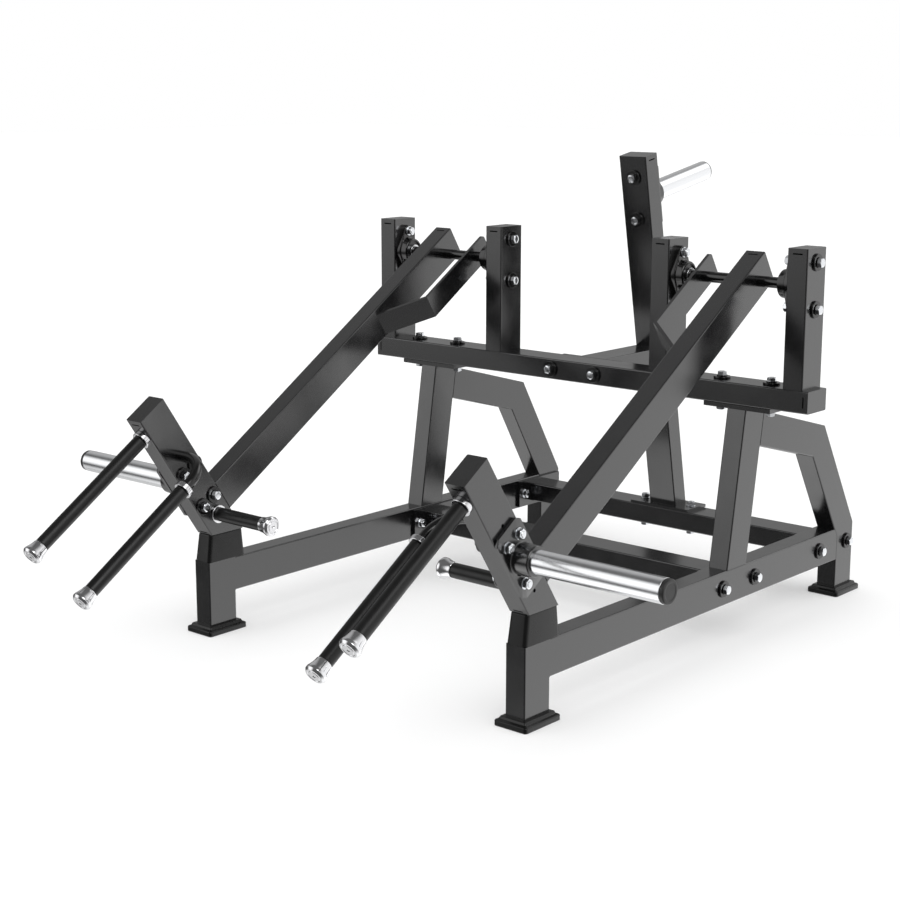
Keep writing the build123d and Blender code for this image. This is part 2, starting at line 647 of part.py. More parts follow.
def weight_sleeve():
    start = bracket_point(SLEEVE_AT) + ACROSS * (TUBE_W / 2)
    return stepped_sleeve(start, ACROSS, SLEEVE_R, FLANGE_T + SLEEVE_BOSS_H, SLEEVE_LEN)


def sleeve_cap():
    reach = TUBE_W / 2 + FLANGE_T + SLEEVE_BOSS_H + SLEEVE_LEN
    return round_cap(bracket_point(SLEEVE_AT) + ACROSS * reach, ACROSS, SLEEVE_R, SLEEVE_CAP_T)


# ---- handles ----------------------------------------------------------------------------------
def upper_face():
    return bracket_point(UPPER_AT) + GRIP_DIR * (TUBE_D / 2)


def side_face():
    return bracket_point(SIDE_AT) - ACROSS * (TUBE_W / 2)


def middle_line():
    """Corner of the middle handle: where its grip line meets the way out of the bracket."""
    return bracket_point(MIDDLE_AT) - ACROSS * (TUBE_W / 2 + MIDDLE_OUT)


def handles():
    """For each handle: where its collar starts, its direction, and its reach from there."""
    lead = MIDDLE_BEND + MIDDLE_LEAD
    return [(upper_face(), GRIP_DIR, UPPER_REACH),
            (middle_line() + GRIP_DIR * lead, GRIP_DIR, MIDDLE_REACH - lead),
            (side_face(), -ACROSS, SIDE_REACH)]


def straight_bar(start, along, reach):
    return ring(start, along, BAR_R, BAR_R - BAR_WALL, reach - CAP_L + CAP_BORE)


def upper_handle():
    return straight_bar(*handles()[0])


def side_handle():
    return straight_bar(*handles()[2])


def middle_handle():
    """Bar that leaves the bracket's inner face, turns forward and carries the grip."""
    corner = middle_line()
    start = corner + ACROSS * MIDDLE_OUT
    end = corner + GRIP_DIR * (MIDDLE_REACH - CAP_L + CAP_BORE)
    path = FilletPolyline(start, corner, end, radius=MIDDLE_BEND)
    section = Plane(origin=start, z_dir=-ACROSS) * (Circle(BAR_R) - Circle(BAR_R - BAR_WALL))
    return sweep(section, path=path)


def grips():
    return [ring(start + along * COLLAR_L, along, GRIP_R, BAR_R + SEAT_GAP,
                 reach - COLLAR_L - CAP_L) for start, along, reach in handles()]


def collars():
    return [ring(start, along, COLLAR_R, BAR_R + SEAT_GAP, COLLAR_L)
            for start, along, reach in handles()]


def end_cap(start, along, reach):
    """Flared cap: neck at the grip, widest just behind its slightly domed face."""
    outline = Polyline((0, 0), (CAP_NECK_R, 0), (CAP_R, CAP_WIDE_FROM), (CAP_R, CAP_WIDE_TO),
                       (CAP_R - CAP_FACE_IN, CAP_L), (0, CAP_L), close=True)
    neck = start + along * (reach - CAP_L)
    frame = Plane(origin=neck, x_dir=BRACKET_DIR, z_dir=along)
    profile = Plane(origin=neck, x_dir=frame.x_dir, z_dir=-frame.y_dir)
    shape = revolve(profile * make_face(outline), axis=Axis(neck, along))
    return shape - rod(neck, along, BAR_R + SEAT_GAP, CAP_BORE)


def end_caps():
    return [end_cap(*h) for h in handles()]


# ---- whole machine ------------------------------------------------------------------------------
def frame_nodes():
    nodes = {}
    nodes.update(both("front_post", front_post))
    nodes.update(both("base_rail", base_rail))
    nodes.update(both("upright", upright))
    nodes.update(both("rear_leg", rear_leg))
    nodes.update(both("front_foot", lambda: foot(0)))
    nodes.update(both("rear_foot", lambda: foot(RAIL_END_Y)))
    nodes.update(both("bumper", bumper))
    nodes["front_cross_member"] = cross_member(CROSS_FRONT_Y)
    nodes["rear_cross_member"] = cross_member(CROSS_REAR_Y)
    nodes["top_beam"] = top_beam()
    nodes.update(both("outer_bearing_post", lambda: bearing_post(POST_OUT_X, -1)))
    nodes.update(both("inner_bearing_post", lambda: bearing_post(POST_IN_X, 1)))
    outer = POST_OUT_X - TUBE_W
    inner = POST_IN_X + TUBE_W
    nodes.update(both("outer_bearing_housing", lambda: bearing_housing(outer, -1)))
    nodes.update(both("inner_bearing_housing", lambda: bearing_housing(inner, 1)))
    inserts = [bearing_insert(outer, -1), bearing_insert(inner, 1)]
    nodes["bearing_inserts"] = loose(inserts + [mirrored(i) for i in inserts])
    nodes["rear_post"] = rear_post()
    nodes["link_tube"] = link_tube()
    nodes["storage_horn_flange"] = storage_horn_flange()
    nodes["storage_horn"] = storage_horn()
    nodes["storage_horn_cap"] = storage_horn_cap()
    bolts = beam_bolts() + bearing_bolts() + rail_bolts() + base_bolts() + link_bolts() + horn_bolts()
    nodes["frame_bolts"] = bolted(bolts)
    return nodes


def arm_nodes():
    nodes = {}
    nodes.update(both("pivot_shaft", pivot_shaft))
    nodes.update(both("lever_arm", lever_arm))
    nodes.update(both("brace_plate", brace_plate))
    nodes.update(both("handle_bracket", handle_bracket))
    nodes.update(both("sleeve_flange", sleeve_flange))
    nodes.update(both("weight_sleeve", weight_sleeve))
    nodes.update(both("sleeve_cap", sleeve_cap))
    nodes.update(both("upper_handle", upper_handle))
    nodes.update(both("middle_handle", middle_handle))
    nodes.update(both("side_handle", side_handle))
    nodes.update(both("handle_grips", lambda: loose(grips())))
    nodes.update(both("handle_collars", lambda: loose(collars())))
    nodes.update(both("handle_end_caps", lambda: loose(end_caps())))
    nodes.update(both("sleeve_bolts", lambda: bolted(sleeve_bolts())))
    return nodes


def rest_box(nodes):
    """Lowest and highest corner of everything, at rest."""
    boxes = [shape.bounding_box() for shape in nodes.values()]
    low = Vector(*(min(getattr(b.min, a) for b in boxes) for a in "XYZ"))
    high = Vector(*(max(getattr(b.max, a) for b in boxes) for a in "XYZ"))
    return low, high


def main():
    """Build every node, stand the machine on its own origin and write the files."""
    nodes = {**frame_nodes(), **arm_nodes()}
    low, high = rest_box(nodes)
    shift = Vector(0, -(low.Y + high.Y) / 2, 0)
    os.makedirs("parts", exist_ok=True)
    for name, shape in nodes.items():
        export_step(Pos(shift.X, shift.Y, shift.Z) * shape, f"parts/{name}.step")
    size = high - low
    print(f"{len(nodes)} nodes, {size.X:.1f} x {size.Y:.1f} x {size.Z:.1f} mm, moved by Y {shift.Y:.3f}")
    return nodes, shift


NODES, SHIFT = main()
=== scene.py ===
# %% [markdown]
# A plate-loaded lever machine: two swinging arms on a bolted frame of rectangular steel tube.
# The tubes, plates and joints come from the engineering model, which is loaded here as a fixed frame.
# This script gives every tube its powder coat and makes the turned, moulded and forged pieces
# (bolts, bearings, sleeves, grips, caps, feet) again as smooth surfaces worked out with numpy.

# %% Load the fixed frame
import json
import math
import bpy
import numpy as np
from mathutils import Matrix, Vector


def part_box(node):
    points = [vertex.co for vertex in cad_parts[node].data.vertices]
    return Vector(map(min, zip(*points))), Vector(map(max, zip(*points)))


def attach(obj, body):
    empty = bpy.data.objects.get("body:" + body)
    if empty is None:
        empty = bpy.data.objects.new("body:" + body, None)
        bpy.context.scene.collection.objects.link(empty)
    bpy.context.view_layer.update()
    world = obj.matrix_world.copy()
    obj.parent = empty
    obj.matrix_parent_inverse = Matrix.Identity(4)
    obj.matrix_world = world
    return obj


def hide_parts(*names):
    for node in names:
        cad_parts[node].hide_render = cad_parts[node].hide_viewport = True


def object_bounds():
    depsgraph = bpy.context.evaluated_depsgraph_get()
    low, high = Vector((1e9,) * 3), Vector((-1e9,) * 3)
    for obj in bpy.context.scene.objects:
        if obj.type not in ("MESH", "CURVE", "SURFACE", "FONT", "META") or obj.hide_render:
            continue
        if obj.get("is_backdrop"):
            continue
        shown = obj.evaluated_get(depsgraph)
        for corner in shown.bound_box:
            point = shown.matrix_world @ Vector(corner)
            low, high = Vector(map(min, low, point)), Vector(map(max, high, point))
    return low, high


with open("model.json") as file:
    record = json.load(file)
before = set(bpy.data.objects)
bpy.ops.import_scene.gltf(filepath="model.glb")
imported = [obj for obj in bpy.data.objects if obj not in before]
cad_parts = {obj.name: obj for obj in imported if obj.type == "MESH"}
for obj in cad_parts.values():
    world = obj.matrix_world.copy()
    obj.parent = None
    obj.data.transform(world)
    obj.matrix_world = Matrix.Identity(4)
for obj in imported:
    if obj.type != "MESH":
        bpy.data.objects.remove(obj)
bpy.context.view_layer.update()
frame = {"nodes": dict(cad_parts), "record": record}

nodes = frame["nodes"]
MM = 0.001


# %% [markdown]
# ## Camera
# A product picture is taken from standing height with a fairly long lens, so that parallel tubes stay
# nearly parallel. The lens here is 70 mm on a 36 mm sensor, 41 degrees round from the machine's axis.
# The camera's distance is kept from the front posts, so it follows the frame if the frame grows.

# %% The camera
CAMERA_SIDE = 2.54394      # metres right of the machine's middle
CAMERA_BACK = 2.58069      # metres in front of the front posts
CAMERA_HIGH = 1.27255
CAMERA_TURN = 41.08        # degrees to the left of straight ahead
CAMERA_DIP = 12.06         # degrees below level
LENS_MM = 70.48
SENSOR_MM = 36
FURTHEST = 100             # metres: nothing is drawn beyond this

front_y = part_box("right_front_post")[0].y
camera = bpy.data.objects.new("camera", bpy.data.cameras.new("camera"))
bpy.context.scene.collection.objects.link(camera)
camera.location = (CAMERA_SIDE, front_y - CAMERA_BACK, CAMERA_HIGH)
camera.rotation_euler = (math.radians(90 - CAMERA_DIP), 0, math.radians(CAMERA_TURN))
camera.data.lens = LENS_MM
camera.data.sensor_width = SENSOR_MM
camera.data.clip_end = FURTHEST
bpy.context.scene.camera = camera
print("camera at", [round(v, 3) for v in camera.location])


# %% [markdown]
# ## Finishes
# Colours are written as sRGB hex, as on a colour card, and one function turns them to the linear
# values that the shader works in. Another small function adds a node with its settings and links.

# %% Colour and node helpers
def linear(code):
    """sRGB hex to linear RGBA: each channel is c/12.92 when dark, else ((c+0.055)/1.055)^2.4."""
    srgb = [int(code[i:i + 2], 16) / 255 for i in (1, 3, 5)]
    return [c / 12.92 if c <= 0.04045 else ((c + 0.055) / 1.055) ** 2.4 for c in srgb] + [1.0]


def add(tree, kind, links=None, **settings):
    """Adds one node. Settings are its properties or its inputs' values, and links feed inputs."""
    made = tree.nodes.new(kind)
    for key, value in settings.items():
        if hasattr(made, key):
            setattr(made, key, value)
        else:
            made.inputs[key.replace("_", " ")].default_value = value
    for key, source in (links or {}).items():
        tree.links.new(source, made.inputs[key])
    return made


def finish(name, colour, roughness, **shader):
    """A named material with its Principled shader set, its node tree and that shader."""
    made = bpy.data.materials.new(name)
    made.use_nodes = True
    body = made.node_tree.nodes["Principled BSDF"]
    body.inputs["Base Color"].default_value = linear(colour)
    body.inputs["Roughness"].default_value = roughness
    for key, value in shader.items():
        body.inputs[key.replace("_", " ")].default_value = value
    return made, made.node_tree, body


def grain(tree, size_mm, detail=2.0, stretch=(1, 1, 1)):
    """Noise on Object coordinates whose spots are size_mm across: its scale is 1000 / size."""
    place = add(tree, "ShaderNodeTexCoord")
    turn = add(tree, "ShaderNodeMapping", {"Vector": place.outputs["Object"]}, Scale=stretch)
    return add(tree, "ShaderNodeTexNoise", {"Vector": turn.outputs["Vector"]},
               Scale=1 / (size_mm * MM), Detail=detail)


def bumped(tree, body, height, depth_mm, strength=1.0):
    """Feeds a height field of depth_mm into the shader's normal."""
    bump = add(tree, "ShaderNodeBump", {"Height": height}, Strength=strength, Distance=depth_mm * MM)
    tree.links.new(bump.outputs["Normal"], body.inputs["Normal"])


NOISE_LOW, NOISE_HIGH = 0.3, 0.7       # nearly all of a noise's values lie between these


def ranged(tree, source, low, high):
    """Spreads a noise's usual values over low to high."""
    made = add(tree, "ShaderNodeMapRange", {"Value": source})
    for key, value in (("From Min", NOISE_LOW), ("From Max", NOISE_HIGH), ("To Min", low), ("To Max", high)):
        made.inputs[key].default_value = value
    return made.outputs["Result"]


# %% [markdown]
# ### Charcoal powder coat
# The tubes are sprayed with dry polyester powder and baked. The melt levels out almost, and what is
# left is orange peel: soft waves a few millimetres across that only show where a light is reflected.
# The paint itself is nearly black, so most of what the eye sees is the room in the satin skin.
# The waves are bump on Object coordinates, and a second, larger noise varies the skin's roughness.

# %% Powder coat
PEEL_MM = 2.2              # one wave of orange peel
PEEL_DEPTH_MM = 0.008
PATCH_MM = 60.0            # patches of thicker and thinner powder
COAT_ROUGH = 0.2
COAT_ROUGH_CHANGE = 0.03
COAT_IOR = 1.9             # higher than polyester's 1.5, for the sheen of its flattened skin


def powder_coat():
    """Near-black satin paint: orange peel as bump, and patches that vary the roughness."""
    made, tree, body = finish("charcoal_powder_coat", "#0b0b0c", COAT_ROUGH, IOR=COAT_IOR)
    patches = grain(tree, PATCH_MM)
    tree.links.new(ranged(tree, patches.outputs["Fac"], COAT_ROUGH - COAT_ROUGH_CHANGE,
                          COAT_ROUGH + COAT_ROUGH_CHANGE), body.inputs["Roughness"])
    bumped(tree, body, grain(tree, PEEL_MM).outputs["Fac"], PEEL_DEPTH_MM)
    return made


coat = powder_coat()


# %% [markdown]
# ### Gloss black enamel
# Bearing housings are castings and the handle bars are bent tube, both dipped in air-drying enamel.
# It is glossier than powder and follows the casting's grain, which is coarse bump below the gloss.

# %% Enamel
CAST_GRAIN_MM = 1.4
CAST_DEPTH_MM = 0.02
ENAMEL_ROUGH = 0.16
ENAMEL_IOR = 1.6


def black_enamel():
    """Gloss enamel over the coarse grain of a casting."""
    made, tree, body = finish("gloss_black_enamel", "#070707", ENAMEL_ROUGH, IOR=ENAMEL_IOR)
    bumped(tree, body, grain(tree, CAST_GRAIN_MM, detail=4.0).outputs["Fac"], CAST_DEPTH_MM)
    return made


enamel = black_enamel()


# %% [markdown]
# ### Moulded rubber
# Feet and bumpers are pressed in a spark-eroded mould. The black is carbon, the skin has a soft
# shine with a waxy bloom here and there, and the mould's fine pits are 0.6 mm apart. The grips are a
# softer tube, duller, ground after moulding, so their grain is finer. The plugs' nylon is greyer.

# %% Rubbers
PIT_MM = 0.6
GROUND_MM = 0.4            # grain of the ground grips
NYLON_MM = 0.8             # grain of the moulded plugs
PIT_DEPTH_MM = 0.01
BLOOM_MM = 35.0
BLOOM_CHANGE = 0.06        # how far the bloom moves the roughness each way


def rubber(name, colour, roughness, pit_mm):
    """Moulded rubber or plastic: pits of pit_mm, and a bloom that varies the roughness."""
    made, tree, body = finish(name, colour, roughness, Specular_IOR_Level=0.4)
    bloom = ranged(tree, grain(tree, BLOOM_MM, detail=5.0).outputs["Fac"],
                   roughness - BLOOM_CHANGE, roughness + BLOOM_CHANGE)
    tree.links.new(bloom, body.inputs["Roughness"])
    bumped(tree, body, grain(tree, pit_mm, detail=3.0).outputs["Fac"], PIT_DEPTH_MM)
    return made


foot_rubber = rubber("pressed_black_rubber", "#080808", 0.3, PIT_MM)
grip_rubber = rubber("ground_grip_rubber", "#060606", 0.36, GROUND_MM)
end_plastic = rubber("moulded_black_nylon", "#1c1c1c", 0.4, NYLON_MM)


# %% [markdown]
# ### Bright metals
# Three metals shine here. The chrome is hard plate over ground steel, rubbed satin by the plates
# that slide along it. Zinc plate on the fasteners is brighter and a little bluish. The collars and
# end caps are aluminium turned on a lathe:
# the tool leaves grooves round the axis, so their bump follows the distance travelled along the
# profile, which every turned piece stores as the attribute "travel", in millimetres.

# %% Metals
LATHE_FEED_MM = 0.35       # groove spacing, drawn about twice as coarse as a real finishing cut
GROOVE_DEPTH_MM = 0.006


def metal(name, colour, roughness, wear_mm, wear):
    """Plated metal: smooth, with its roughness varied by wear over patches of wear_mm."""
    made, tree, body = finish(name, colour, roughness, Metallic=1.0)
    patches = grain(tree, wear_mm, detail=6.0)
    tree.links.new(ranged(tree, patches.outputs["Fac"], roughness - wear, roughness + wear),
                   body.inputs["Roughness"])
    return made, tree, body


def turned_aluminium():
    """Aluminium with fine grooves: noise along the attribute "travel", one groove per lathe feed."""
    made, tree, body = metal("turned_aluminium", "#e4e4e6", 0.14, 9.0, 0.03)
    travel = add(tree, "ShaderNodeAttribute", attribute_name="travel")
    grooves = add(tree, "ShaderNodeTexNoise", {"W": travel.outputs["Fac"]},
                  noise_dimensions="1D", Scale=1 / LATHE_FEED_MM, Detail=1.0)
    bumped(tree, body, grooves.outputs["Fac"], GROOVE_DEPTH_MM)
    return made


chrome = metal("hard_chrome_plate", "#e9eaec", 0.21, 25.0, 0.02)[0]
zinc = metal("bright_zinc_plate", "#dfe1e4", 0.16, 6.0, 0.05)[0]
aluminium = turned_aluminium()

materials = {"powder_coat": coat, "black_enamel": enamel, "black_rubber": foot_rubber,
             "grip_rubber": grip_rubber, "zinc_steel": zinc, "satin_aluminium": aluminium,
             "chrome": chrome, "black_plastic": end_plastic}
for part in frame["record"]["subparts"]:
    slots = nodes[part["node"]].data.materials
    slots.clear()
    slots.append(materials[part["material_slot"]])
print(len(materials), "finishes")


# %% [markdown]
# ## Measuring the frame
# Nothing below is placed by eye. A group node such as the bolts holds many solids in one mesh of
# loose triangles, so it is taken apart by joining points that share a place, then every point takes
# the lowest number among its neighbours until nothing changes. A round solid's axis is the
# principal direction of its points that differs most from the other two.

# %% Solids and their axes
SAME_MM = 0.004            # a gap between sorted values wider than this starts a new group


def grouped(values):
    """The number of each value's group, where sorted values with small gaps stay together."""
    order = np.argsort(values)
    number = np.zeros(len(values), int)
    number[order[1:]] = np.cumsum(np.diff(values[order]) > SAME_MM)
    return number


def solids(node):
    """Point sets, in millimetres, of a node's separate solids."""
    mesh = nodes[node].data
    points = np.empty(len(mesh.vertices) * 3)
    mesh.vertices.foreach_get("co", points)
    corners = np.empty(len(mesh.loops), int)
    mesh.loops.foreach_get("vertex_index", corners)
    points = points.reshape(-1, 3) / MM
    keys = np.column_stack([grouped(points[:, k]) for k in range(3)])
    _, kept, same = np.unique(keys, axis=0, return_index=True, return_inverse=True)
    points, triangles = points[kept], same.ravel()[corners].reshape(-1, 3)
    number = np.arange(len(points))
    while True:
        lower = number.copy()
        np.minimum.at(lower, triangles.ravel(), np.repeat(number[triangles].min(1), 3))
        lower = lower[lower]
        if (lower == number).all():
            break
        number = lower
    return [points[number == n] for n in np.unique(number)]


def unit(v):
    """The vector over its length."""
    return np.asarray(v, float) / np.linalg.norm(v)


def spindle(points, towards=None):
    """Start, direction, length and greatest radius of a round solid."""
    middle = points.mean(0)
    spread, directions = np.linalg.eigh(np.cov((points - middle).T))
    axis = directions[:, 2 if spread[2] - spread[1] > spread[1] - spread[0] else 0]
    if towards is not None and axis @ np.asarray(towards, float) < 0:
        axis = -axis
    along = (points - middle) @ axis
    radius = np.linalg.norm(points - middle - along[:, None] * axis, axis=1).max()
    return middle + axis * along.min(), axis, np.ptp(along), radius


def away_from_axis(points, start, axis):
    """Each point's height along an axis, and its distance from it."""
    along = (points - start) @ axis
    return along, np.linalg.norm(points - start - along[:, None] * axis, axis=1)


grip_way = {side: spindle(solids(side + "_upper_handle")[0], (0, -1, 0))[1] for side in ("right", "left")}
print("handles point", {side: way.round(3).tolist() for side, way in grip_way.items()})


# %% [markdown]
# ## Surfaces on a grid
# Every new piece is one or more closed surfaces on a grid. Rows follow a profile, a list of
# (height along the axis, radius) points, and columns go round the axis. Corners of the profile are
# rounded, because no edge of a real part is perfectly sharp and the small arcs catch the light.

# %% Profiles and grids
HOLD = 0.04                # how far past an arc its holding point lies, as a share of the radius


def rounded(corners, closed=False, steps=5):
    """A profile with its corners rounded: each (height, radius, rounding) corner becomes an arc.

    The arc touches both sides, radius / tan(half the inside angle) away from the corner, and turns
    evenly from one touching point to the other. One point just outside each end of the arc keeps
    the flats flat when the surface is shaded smooth.
    """
    points = np.array([c[:2] for c in corners], float)
    made = []
    for i, corner in enumerate(corners):
        size = corner[2] if len(corner) > 2 else 0
        if not size:
            made.append(points[i][None])
            continue
        before = unit(points[i - 1] - points[i])
        after = unit(points[(i + 1) % len(points)] - points[i])
        half = math.acos(np.clip(before @ after, -1, 1)) / 2
        reach = size / math.tan(half)
        centre = points[i] + unit(before + after) * size / math.sin(half)
        start, stop = points[i] + before * reach - centre, points[i] + after * reach - centre
        turn = math.pi - 2 * half
        t = np.linspace(0, 1, steps + 1)[:, None]
        arc = (np.sin((1 - t) * turn) * start + np.sin(t * turn) * stop) / math.sin(turn)
        hold = HOLD * size
        made.append(np.vstack([centre + start + before * hold, centre + arc, centre + stop + after * hold]))
    made = np.vstack(made)
    return np.vstack([made, made[:1]]) if closed else made


def square_to(axis, hint=None):
    """Two unit directions square to the axis and to each other, the first nearest the hint."""
    hint = np.eye(3)[np.argmin(np.abs(axis))] if hint is None else np.asarray(hint, float)
    first = unit(hint - axis * (hint @ axis))
    return first, np.cross(axis, first)


def evenly(count):
    """Angles all the way round."""
    return np.arange(count) * 2 * math.pi / count


def turned(profile, start, axis, angles=48, radii=None, hint=None):
    """Row i, column j lies at start + height_i * axis + radius_ij * (first cos a_j + second sin a_j)."""
    angles = evenly(angles) if isinstance(angles, int) else angles
    first, second = square_to(axis, hint)
    spokes = np.cos(angles)[:, None] * first + np.sin(angles)[:, None] * second
    radii = profile[:, 1:2] if radii is None else radii
    return start + profile[:, 0, None, None] * axis + (radii * np.ones(len(angles)))[..., None] * spokes


# %% Grids to meshes
NEAR = 1.0                 # millimetres: a radius within this of another counts as the same
WELD_MM = 0.001            # points nearer than this become one, which closes seams and poles
CREASE = 34.0              # degrees: edges that turn more stay sharp


def skin(grid):
    """Points, quads and travel of a grid whose columns go all the way round, facing outwards.

    Travel is the distance along the first column. The faces point outwards if the sum of
    a . (b x c) over their triangles, six times the enclosed volume, is positive.
    """
    rows, columns = grid.shape[:2]
    index = np.arange(rows * columns).reshape(rows, columns)
    near, far = index[:-1], index[1:]
    quads = np.stack([near, far, np.roll(far, -1, 1), np.roll(near, -1, 1)], -1).reshape(-1, 4)
    points = grid.reshape(-1, 3)
    a, b, c, d = (points[quads[:, k]] - points.mean(0) for k in range(4))
    volume = (a * np.cross(b, c)).sum() + (a * np.cross(c, d)).sum()
    steps = np.linalg.norm(np.diff(grid[:, 0], axis=0), axis=1)
    travel = np.repeat(np.concatenate([[0], np.cumsum(steps)]), columns)
    return points, quads if volume > 0 else quads[:, ::-1], travel


made_pieces = []


def piece(name, grids, body, slot, *replaced):
    """One object of several closed grids that rides on a body and stands for CAD nodes."""
    skins = [skin(g) for g in grids]
    starts = np.cumsum([0] + [len(p) for p, _, _ in skins])
    points = np.vstack([p for p, _, _ in skins])
    quads = np.vstack([q + start for (_, q, _), start in zip(skins, starts)])
    travel = np.concatenate([t for _, _, t in skins])
    owner = np.repeat(np.arange(len(skins)), np.diff(starts))
    keys = np.column_stack([owner, np.round(points / WELD_MM)])
    _, kept, same = np.unique(keys, axis=0, return_index=True, return_inverse=True)
    quads = same.ravel()[quads]
    repeated = quads == np.roll(quads, -1, 1)
    whole = quads[repeated.sum(1) == 0]
    folded = repeated.sum(1) == 1
    thirds = quads[folded][~repeated[folded]].reshape(-1, 3)
    mesh = bpy.data.meshes.new(name)
    mesh.from_pydata((points[kept] * MM).tolist(), [], whole.tolist() + thirds.tolist())
    mesh.attributes.new("travel", "FLOAT", "POINT").data.foreach_set("value", travel[kept].astype(np.float32))
    mesh.shade_smooth()
    mesh.set_sharp_from_angle(angle=math.radians(CREASE))
    mesh.materials.append(materials[slot])
    made = bpy.data.objects.new(name, mesh)
    bpy.context.scene.collection.objects.link(made)
    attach(made, body)
    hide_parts(*replaced)
    made_pieces.append(made)


# %% [markdown]
# ## Fasteners
# M12 hex bolts hold the frame together. A forged head is a hexagon whose corners are cut by a cone,
# which leaves the curved scallops on each flat: its radius is the smaller of the hexagon's and the
# cone's at every height. Under each head is a black washer on a thicker, wider one, and the far end
# has a bright washer and a nut with the bolt's tip just through it. The threads are rings, one for
# each pitch, since so little shows.

# %% Bolt sizes and shapes
FLATS = 19.0               # all in millimetres
FACE = 0.47 * FLATS        # radius of the flat face inside the cone's cut
INSIDE = 0.4 * FLATS       # what lies nearer the axis than this is round, not hexagonal
CONE = math.radians(30)
HEAD_H = 8.0
NUT_H = 10.0
WASHER_R = 12.0
WASHER_T = 2.5
WASHER_EDGE = 0.5
PAD_R = 19.5
PAD_T = 5.0
PAD_EDGE = 1.3
THREAD_R = 6.0
THREAD_DEPTH = 0.9
PITCH = 1.75
TIP = 1.0
TIP_EDGE = 0.6
BORE = 6.2
MOUTH = 0.3                # chamfer of a nut's bore
CROWN_R = 0.6 * FACE       # a head's forged middle stands up a little inside this radius
CROWN_EDGE_H = 0.2
CROWN_H = 0.25
TURN_APART = 0.65          # each bolt was left at another angle: radians from one to the next


def hexagon(angles):
    """Distance to a hexagon's side: half the flats over the cosine of the angle from that side's middle."""
    from_middle = (angles + math.pi / 6) % (math.pi / 3) - math.pi / 6
    return FLATS / 2 / np.cos(from_middle)


def hex_piece(start, axis, height, turn, is_nut):
    """Hexagon cut by a cone at its outer end; a nut has the cone at both ends and a bore."""
    corner = FLATS / math.sqrt(3)
    drop = (corner - FACE) * math.tan(CONE)
    rise = np.linspace(0, 1, 5)
    top = np.column_stack([height - drop + drop * rise, corner + (FACE - corner) * rise])
    if is_nut:
        low = np.column_stack([drop * rise, FACE + (corner - FACE) * rise])
        foot = [[0, BORE + MOUTH]]
        middle = [[height, BORE + MOUTH], [height - MOUTH, BORE], [MOUTH, BORE], *foot]
    else:
        low = [[0, corner]]
        foot = [[0, 0]]
        middle = [[height + CROWN_EDGE_H, CROWN_R], [height + CROWN_H, 0]]
    profile = np.vstack([foot, low, top, middle])
    angles = evenly(36)
    outside = profile[:, 1:2] > INSIDE
    radii = np.where(outside, np.minimum(profile[:, 1:2], hexagon(angles)[None]), profile[:, 1:2])
    first, second = square_to(axis)
    return turned(profile, start, axis, angles, radii, first * math.cos(turn) + second * math.sin(turn))


def flat_ring(start, axis, outer, bore, thick, edge, angles=36):
    """Washer with its outer edges rounded."""
    profile = rounded([(0, bore), (0, outer, edge), (thick, outer, edge), (thick, bore)],
                      closed=True, steps=3)
    return turned(profile, start, axis, angles)


def thread(start, axis, length):
    """Threaded end: the radius falls by the thread's depth and rises again once each pitch."""
    turns = np.arange(0, length - PITCH, PITCH / 2)
    radii = THREAD_R - THREAD_DEPTH * (np.arange(len(turns)) % 2)
    rows = np.column_stack([turns, radii])
    chamfer = [[length - TIP_EDGE, THREAD_R], [length, THREAD_R - TIP_EDGE], [length, 0]]
    return turned(np.vstack([[[0, 0]], rows, chamfer]), start, axis, 24)


def long_bolt(points, number):
    """Bright head, nut, washer and thread of one bolt, and its two black washers, from its CAD shank."""
    start, axis, length, _ = spindle(points)
    along, from_axis = away_from_axis(points, start, axis)
    if along[from_axis > THREAD_R + NEAR].mean() > length / 2:
        start, axis = start + axis * length, -axis
    turn = number * TURN_APART
    under_head = start + axis * HEAD_H
    pad = under_head + axis * WASHER_T
    nut = start + axis * (length - TIP - NUT_H)
    bright = [hex_piece(under_head, -axis, HEAD_H, turn, False),
              flat_ring(nut - axis * WASHER_T, axis, WASHER_R, BORE, WASHER_T, WASHER_EDGE),
              hex_piece(nut, axis, NUT_H, turn * 2, True),
              thread(nut + axis * 2, axis, NUT_H + TIP - 2)]
    dark = [flat_ring(under_head, axis, WASHER_R, BORE, WASHER_T, WASHER_EDGE),
            flat_ring(pad, axis, PAD_R, BORE, PAD_T, PAD_EDGE, angles=64)]
    return bright, dark


# %% Bolts of the frame and of each arm
SHORTEST_BOLT = 40.0       # every bolt is longer than this, and every nut and washer smaller


def bolts(node, body):
    """Two pieces for a node of bolts: the bright hardware and the black washers."""
    shanks = [p for p in solids(node) if np.ptp(p, axis=0).max() > SHORTEST_BOLT]
    made = [long_bolt(p, i) for i, p in enumerate(shanks)]
    piece(node + "_hardware", [g for bright, _ in made for g in bright], body, "zinc_steel", node)
    piece(node + "_washers", [g for _, dark in made for g in dark], body, "black_enamel", node)
    print(node, len(shanks), "bolts")


bolts("frame_bolts", "frame")
for side in ("right", "left"):
    bolts(side + "_sleeve_bolts", side + "_arm_body")


# %% [markdown]
# ## Weight sleeves and storage horn
# Each is a ground and chromed tube that slides into a boss, with a plug in its open end. The plug is
# a moulded disc with a soft edge and a shallow dished face, where the mould's gate was.

# %% Sleeves, horn and their plugs
TUBE_LIP = 0.8             # rounding of a tube's outer end
SEAT_STEP = 1.0            # how much smaller the seat is than the tube
DISH_DEPTH = 0.8
DISH_RIM = 0.72            # inside of the raised rim, as a share of the plug's radius
DISH_FLOOR = 0.66


